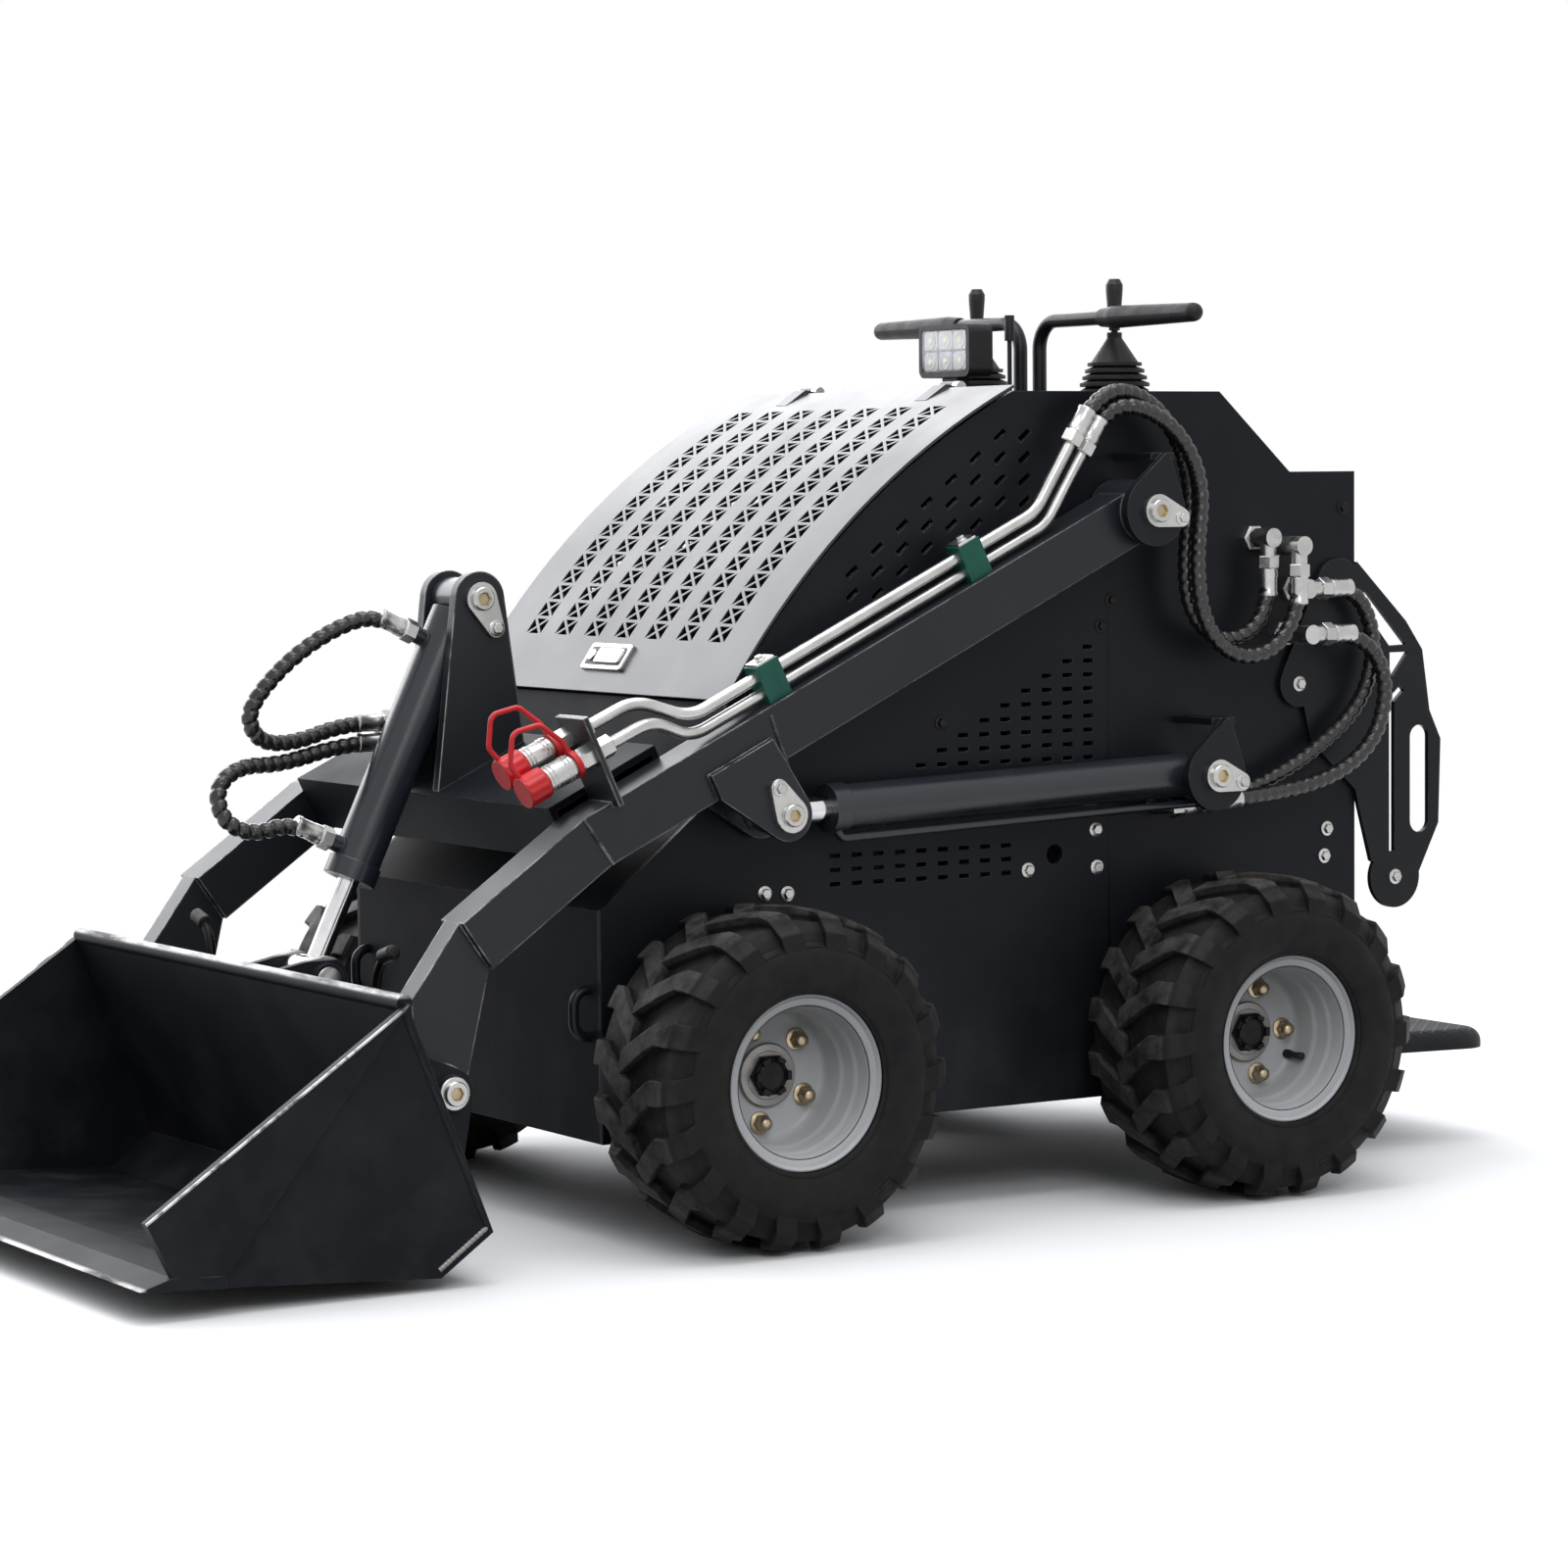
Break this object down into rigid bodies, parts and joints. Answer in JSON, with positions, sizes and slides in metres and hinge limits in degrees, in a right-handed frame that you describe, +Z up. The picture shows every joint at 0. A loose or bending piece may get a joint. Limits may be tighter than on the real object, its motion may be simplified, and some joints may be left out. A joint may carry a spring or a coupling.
{
  "type": "compact stand-on skid steer loader",
  "caption": "Compact stand-on wheeled skid steer loader with lift arms, tilting bucket, hinged hood, rear operator step and hand controls.",
  "frame": {"origin": "on the ground under the middle of the whole machine's box", "axes": "+X towards the bucket, +Y to the machine's left, +Z up"},
  "size_m": [2.348, 1.18, 1.309],
  "materials": {
    "hose_rubber": "matte",
    "clamp_plastic": "matte",
    "cap_rubber": "satin",
    "body_paint": "satin",
    "arm_paint": "satin",
    "bucket_paint": "satin",
    "edge_steel": "worn",
    "zinc": "zinc",
    "chrome": "polished",
    "step_paint": "satin",
    "rubber": "matte",
    "bar_paint": "satin",
    "black_plastic": "matte",
    "engine": "cast",
    "tank_plastic": "matte",
    "tyre": "matte",
    "rim_paint": "satin"
  },
  "bodies": {
    "chassis": {"side_plates": "body_paint", "chassis_tub": "body_paint", "rear_panel": "body_paint", "console_top": "body_paint", "hood_hinges": "zinc", "engine_block": "engine", "hydraulic_tank": "tank_plastic", "axle_stubs": "arm_paint", "arm_brackets": "body_paint", "bracket_pins": "zinc", "rear_guards": "body_paint", "step_platform": "step_paint", "handlebar": "bar_paint", "handlebar_grips": "rubber", "joysticks": "black_plastic", "joystick_boots": "rubber", "work_lamp": "black_plastic", "hose_ports": "zinc", "tie_down_loops": "zinc", "arm_hose_upper": "hose_rubber", "arm_hose_lower": "hose_rubber", "lift_hose_base": "hose_rubber", "lift_hose_rod": "hose_rubber"},
    "hood_lid": {"hood": "body_paint", "hood_latch": "chrome"},
    "lift_frame": {"lift_arms": "arm_paint", "arm_crossbeam": "arm_paint", "tilt_tower": "arm_paint", "tower_pin": "zinc", "arm_pipes": "zinc", "pipe_clamps": "clamp_plastic", "line_fittings": "zinc", "coupler_caps": "cap_rubber", "tilt_hose_base": "hose_rubber", "tilt_hose_rod": "hose_rubber"},
    "bucket": {"bucket_shell": "bucket_paint", "bucket_sides": "bucket_paint", "cutting_edge": "edge_steel", "hitch_frame": "bucket_paint"},
    "lift_barrel_left": {"lift_barrel_left": "arm_paint"},
    "lift_barrel_right": {"lift_barrel_right": "arm_paint"},
    "lift_rod_left": {"lift_rod_left": "chrome"},
    "lift_rod_right": {"lift_rod_right": "chrome"},
    "tilt_barrel": {"tilt_barrel": "arm_paint"},
    "tilt_rod": {"tilt_rod": "chrome"},
    "wheel_front_left": {"tyre_front_left": "tyre", "rim_front_left": "rim_paint"},
    "wheel_front_right": {"tyre_front_right": "tyre", "rim_front_right": "rim_paint"},
    "wheel_rear_left": {"tyre_rear_left": "tyre", "rim_rear_left": "rim_paint"},
    "wheel_rear_right": {"tyre_rear_right": "tyre", "rim_rear_right": "rim_paint"}
  },
  "joints": [
    {"name": "lift", "type": "hinge", "parent": "chassis", "child": "lift_frame", "pos_m": [-0.409, 0, 0.972], "axis": [0, -1, 0], "range_deg": [0, 78], "deforming": ["arm_hose_upper", "arm_hose_lower"]},
    {"name": "bucket_tilt", "type": "hinge", "parent": "lift_frame", "child": "bucket", "pos_m": [0.705, 0, 0.24], "axis": [0, 1, 0], "range_deg": [-12, 100]},
    {"name": "hood_open", "type": "hinge", "parent": "chassis", "child": "hood_lid", "pos_m": [-0.249, 0, 1.15], "axis": [0, -1, 0], "range_deg": [0, 55]},
    {"name": "lift_swing_left", "type": "hinge", "parent": "chassis", "child": "lift_barrel_left", "pos_m": [-0.514, 0.414, 0.596], "axis": [0, -1, 0], "range_deg": [0, 57.77], "deforming": ["lift_hose_base", "lift_hose_rod"]},
    {"name": "lift_stroke_left", "type": "slide", "parent": "lift_barrel_left", "child": "lift_rod_left", "axis": [0.9994, 0, -0.0341], "range_m": [0, 0.40346]},
    {"name": "lift_swing_right", "type": "hinge", "parent": "chassis", "child": "lift_barrel_right", "pos_m": [-0.514, -0.414, 0.596], "axis": [0, -1, 0], "range_deg": [0, 57.77]},
    {"name": "lift_stroke_right", "type": "slide", "parent": "lift_barrel_right", "child": "lift_rod_right", "axis": [0.9994, 0, -0.0341], "range_m": [0, 0.40346]},
    {"name": "tilt_swing", "type": "hinge", "parent": "lift_frame", "child": "tilt_barrel", "pos_m": [0.441, 0, 0.86], "axis": [0, -1, 0], "range_deg": [-1.01, 8.05], "deforming": ["tilt_hose_base", "tilt_hose_rod"]},
    {"name": "tilt_stroke", "type": "slide", "parent": "tilt_barrel", "child": "tilt_rod", "axis": [0.4266, 0, -0.9044], "range_m": [-0.01726, 0.14013]},
    {"name": "wheel_front_left_spin", "type": "hinge", "parent": "chassis", "child": "wheel_front_left", "pos_m": [0.241, 0.485, 0.2285], "axis": [0, 1, 0], "continuous": true},
    {"name": "wheel_front_right_spin", "type": "hinge", "parent": "chassis", "child": "wheel_front_right", "pos_m": [0.241, -0.485, 0.2285], "axis": [0, 1, 0], "continuous": true},
    {"name": "wheel_rear_left_spin", "type": "hinge", "parent": "chassis", "child": "wheel_rear_left", "pos_m": [-0.559, 0.485, 0.2285], "axis": [0, 1, 0], "continuous": true},
    {"name": "wheel_rear_right_spin", "type": "hinge", "parent": "chassis", "child": "wheel_rear_right", "pos_m": [-0.559, -0.485, 0.2285], "axis": [0, 1, 0], "continuous": true}
  ],
  "couplings": [
    {"joint": "lift_swing_left", "follows": "lift", "ratio": 0.74},
    {"joint": "lift_stroke_left", "follows": "lift", "m_per_rad": 0.296},
    {"joint": "lift_swing_right", "follows": "lift", "ratio": 0.74},
    {"joint": "lift_stroke_right", "follows": "lift", "m_per_rad": 0.296},
    {"joint": "tilt_swing", "follows": "bucket_tilt", "ratio": 0.08},
    {"joint": "tilt_stroke", "follows": "bucket_tilt", "m_per_rad": 0.08}
  ]
}
